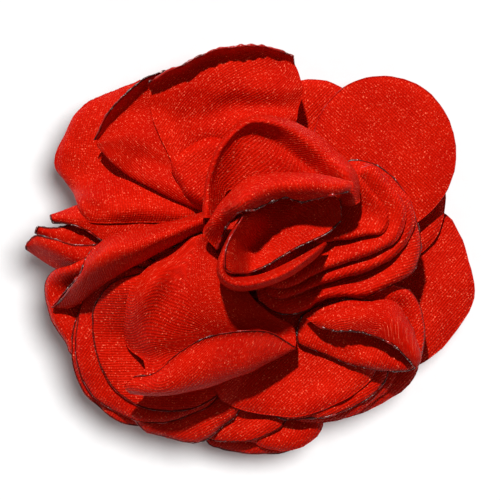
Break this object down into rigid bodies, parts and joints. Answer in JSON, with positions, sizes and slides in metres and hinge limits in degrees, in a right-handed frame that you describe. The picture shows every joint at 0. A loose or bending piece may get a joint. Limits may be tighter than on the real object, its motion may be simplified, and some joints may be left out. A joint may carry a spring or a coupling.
{
  "type": "flower hair clip",
  "caption": "Round satin flower of folded, heat-sealed petals sewn on a felt disc, with a sprung metal alligator clip glued behind it for holding hair.",
  "frame": {"origin": "on the surface that the clip's belly rests on, under the middle of the flower", "axes": "+Z is the way the flower faces, +X runs along the clip towards its toothed tip, +Y is across the clip"},
  "size_m": [0.1098, 0.1002, 0.0425],
  "materials": {
    "satin": "satin weave, semi-gloss",
    "felt": "matte felt",
    "thread": "matte thread",
    "hot_glue": "waxy",
    "steel": "bright nickel plate",
    "spring_steel": "drawn wire"
  },
  "bodies": {
    "flower": {"upper_jaw": "steel", "hinge_pin": "steel", "torsion_spring": "spring_steel", "glue_pad": "hot_glue", "keeper_strip": "felt", "backing_disc": "felt", "base_disc": "felt", "edge_stitches": "thread", "stitching_thread": "thread", "outer_petal_01": "satin", "outer_petal_02": "satin", "outer_petal_03": "satin", "outer_petal_04": "satin", "outer_petal_05": "satin", "outer_petal_06": "satin", "outer_petal_07": "satin", "outer_petal_08": "satin", "outer_petal_09": "satin", "outer_petal_10": "satin", "outer_petal_11": "satin", "outer_petal_12": "satin", "outer_petal_13": "satin", "outer_petal_14": "satin", "middle_petal_01": "satin", "middle_petal_02": "satin", "middle_petal_03": "satin", "middle_petal_04": "satin", "middle_petal_05": "satin", "middle_petal_06": "satin", "middle_petal_07": "satin", "middle_petal_08": "satin", "middle_petal_09": "satin", "middle_petal_10": "satin", "middle_petal_11": "satin", "inner_petal_01": "satin", "inner_petal_02": "satin", "inner_petal_03": "satin", "inner_petal_04": "satin", "inner_petal_05": "satin", "inner_petal_06": "satin", "inner_petal_07": "satin", "inner_petal_08": "satin", "inner_petal_09": "satin", "inner_petal_10": "satin", "inner_petal_11": "satin"},
    "lower_jaw": {"lower_jaw": "steel"}
  },
  "joints": [
    {"name": "clip_hinge", "type": "hinge", "parent": "flower", "child": "lower_jaw", "pos_m": [-0.007, 0, 0.0062], "axis": [0, 1, 0], "range_deg": [0, 32], "stiffness_Nm_per_rad": 0.12, "springref_deg": -20.05, "deforming": ["torsion_spring"]}
  ]
}
